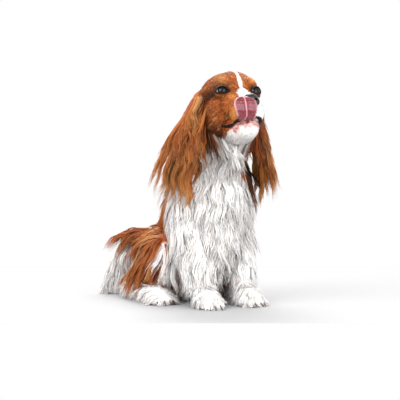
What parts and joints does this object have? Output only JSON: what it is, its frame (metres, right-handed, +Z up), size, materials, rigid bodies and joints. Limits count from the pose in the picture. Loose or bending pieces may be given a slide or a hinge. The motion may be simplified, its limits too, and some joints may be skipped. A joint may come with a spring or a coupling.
{
  "type": "cavalier king charles spaniel, sitting still model",
  "caption": "Life-size sitting cavalier king charles spaniel with long feathered ears, chest, legs and tail, looking up and licking its nose.",
  "frame": {"origin": "on the flat under the rump, where the dog sits on the floor", "axes": "+Z up, the dog faces -Y, its own left side is +X, its tail points to +Y"},
  "size_m": [0.2443, 0.4605, 0.4347],
  "materials": {
    "coat": "long silky coat, chestnut patches on white",
    "nose_leather": "moist pebbled black",
    "tongue": "wet",
    "eye": "wet, very dark brown"
  },
  "bodies": {
    "root": {"head": "coat", "nose": "nose_leather", "tongue": "tongue", "eye_left": "eye", "eye_right": "eye", "ear_left": "coat", "ear_right": "coat", "neck": "coat", "chest": "coat", "torso": "coat", "foreleg_left": "coat", "foreleg_right": "coat", "hindleg_left": "coat", "hindleg_right": "coat", "tail": "coat"}
  },
  "joints": []
}
